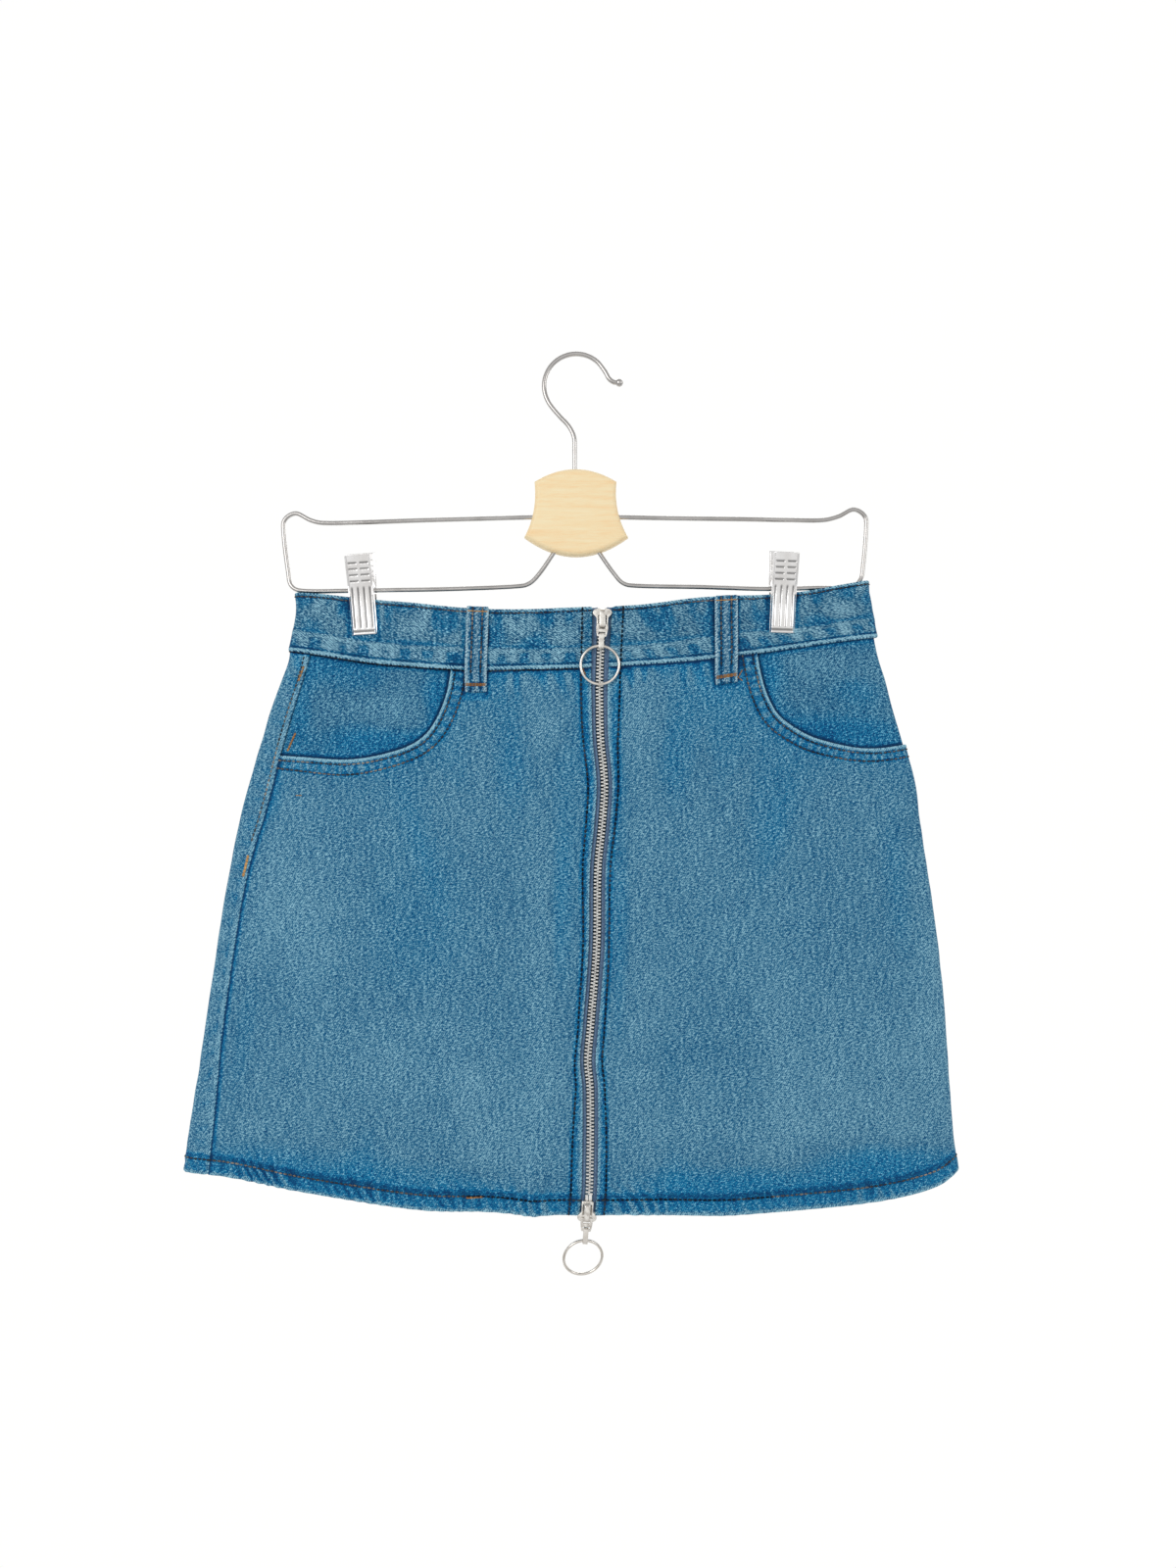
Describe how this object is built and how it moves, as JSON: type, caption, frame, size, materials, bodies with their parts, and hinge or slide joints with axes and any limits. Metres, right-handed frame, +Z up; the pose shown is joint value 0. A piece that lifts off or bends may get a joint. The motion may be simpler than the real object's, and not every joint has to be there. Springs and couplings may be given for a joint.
{
  "type": "denim skirt on a clip hanger",
  "caption": "Short flared denim skirt with scooped pockets and a full-length two-way front zip, clipped flat to a wire hanger with a wooden block.",
  "frame": {"origin": "inside crest of the hanger's hook, where it rests on what it hangs from", "axes": "+X to the viewer's right across the skirt, +Y away from the viewer (the skirt's front faces -Y), +Z up"},
  "size_m": [0.513, 0.0399, 0.607],
  "materials": {
    "denim_panels": "worn mid-blue denim, steep right-hand twill",
    "denim_waistband": "worn mid-blue denim, cut on the other grain",
    "denim_facings": "mid-blue denim, less faded",
    "denim_loops": "worn mid-blue denim, pale at the folded edges",
    "zip_tape": "slate-blue woven polyester tape",
    "zip_metal": "pale antique nickel, satin",
    "slider_metal": "polished nickel with a warm cast",
    "ring_metal": "polished nickel",
    "wire_steel": "bright chrome-plated wire",
    "block_wood": "pale lacquered beech, faint grain",
    "clip_steel": "bright nickel-plated sheet",
    "spring_steel": "spring wire"
  },
  "bodies": {
    "body": {"front_left": "denim_panels", "front_right": "denim_panels", "back_panel": "denim_panels", "waistband": "denim_waistband", "pocket_facing_left": "denim_facings", "pocket_facing_right": "denim_facings", "belt_loop_left": "denim_loops", "belt_loop_right": "denim_loops", "belt_loop_back": "denim_loops", "zip_tape_left": "zip_tape", "zip_tape_right": "zip_tape", "zip_chain": "zip_metal", "zip_slider_top": "slider_metal", "zip_slider_bottom": "slider_metal", "hanger_hook": "wire_steel", "hanger_block": "block_wood", "hanger_wire_left": "wire_steel", "hanger_wire_right": "wire_steel", "clip_front_left": "clip_steel", "clip_back_left": "clip_steel", "clip_spring_left": "spring_steel", "clip_front_right": "clip_steel", "clip_back_right": "clip_steel", "clip_spring_right": "spring_steel"},
    "tab_top": {"pull_tab_top": "slider_metal"},
    "link_top": {"pull_link_top": "slider_metal"},
    "ring_top": {"pull_ring_top": "ring_metal"},
    "tab_bottom": {"pull_tab_bottom": "slider_metal"},
    "link_bottom": {"pull_link_bottom": "slider_metal"},
    "ring_bottom": {"pull_ring_bottom": "ring_metal"}
  },
  "joints": [
    {"name": "tab_top_swing", "type": "hinge", "parent": "body", "child": "tab_top", "pos_m": [0.0172, -0.01179, -0.1796], "axis": [-0.998, 0, 0.0628], "range_deg": [0, 115]},
    {"name": "link_top_swing", "type": "hinge", "parent": "tab_top", "child": "link_top", "pos_m": [0.01675, -0.01179, -0.18674], "axis": [-0.998, 0, 0.0628], "range_deg": [0, 35]},
    {"name": "ring_top_swing", "type": "hinge", "parent": "link_top", "child": "ring_top", "pos_m": [0.01633, -0.01179, -0.19337], "axis": [-0.998, 0, 0.0628], "range_deg": [0, 30]},
    {"name": "tab_bottom_swing", "type": "hinge", "parent": "body", "child": "tab_bottom", "pos_m": [0.00705, -0.01973, -0.56499], "axis": [-0.9971, 0, 0.0767], "range_deg": [0, 115]},
    {"name": "link_bottom_swing", "type": "hinge", "parent": "tab_bottom", "child": "link_bottom", "pos_m": [0.0065, -0.01973, -0.57212], "axis": [-0.9971, 0, 0.0767], "range_deg": [-20, 35]},
    {"name": "ring_bottom_swing", "type": "hinge", "parent": "link_bottom", "child": "ring_bottom", "pos_m": [0.00599, -0.01973, -0.57875], "axis": [-0.9971, 0, 0.0767], "range_deg": [-20, 30]}
  ]
}
